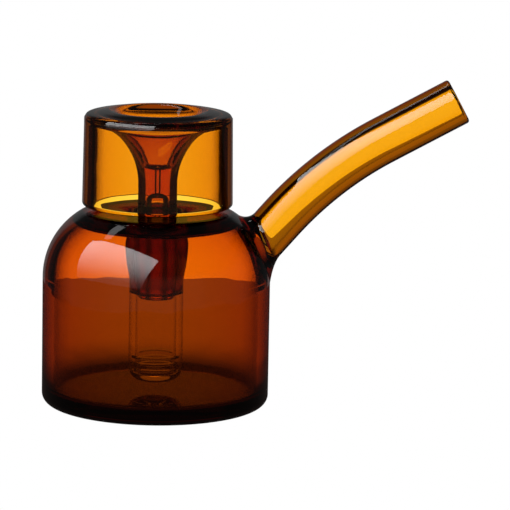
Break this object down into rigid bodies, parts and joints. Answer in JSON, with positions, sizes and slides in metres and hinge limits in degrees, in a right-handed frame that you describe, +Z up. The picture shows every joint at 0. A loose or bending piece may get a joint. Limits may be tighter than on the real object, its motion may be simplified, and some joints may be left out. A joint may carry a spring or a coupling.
{
  "type": "glass bubbler pipe",
  "caption": "Round-shouldered amber glass water pipe with a lift-off bowl cap on a tapered joint, a bent tubular mouthpiece and a clear slotted downstem.",
  "frame": {"origin": "centre of the base underside, on the chamber axis", "axes": "+Z up along the chamber axis, +X towards the mouthpiece, which lies in the XZ plane"},
  "size_m": [0.1303, 0.07, 0.1019],
  "materials": {
    "amber_glass": "fire-polished",
    "clear_glass": "fire-polished"
  },
  "bodies": {
    "chamber": {"chamber_wall": "amber_glass", "chamber_shoulder": "amber_glass", "chamber_base": "amber_glass", "neck_deck": "amber_glass", "joint_socket": "amber_glass", "downstem_tube": "clear_glass", "diffuser_tip": "clear_glass", "mouthpiece_collar": "amber_glass", "mouthpiece_bend": "amber_glass", "mouthpiece_tube": "amber_glass"},
    "cap": {"cap_skirt": "amber_glass", "cap_rim": "amber_glass", "bowl_funnel": "amber_glass", "bowl_stem": "amber_glass", "joint_plug": "amber_glass"}
  },
  "joints": [
    {"name": "cap_lift", "type": "slide", "parent": "chamber", "child": "cap", "axis": [0, 0, 1], "range_m": [0, 0.06]}
  ]
}
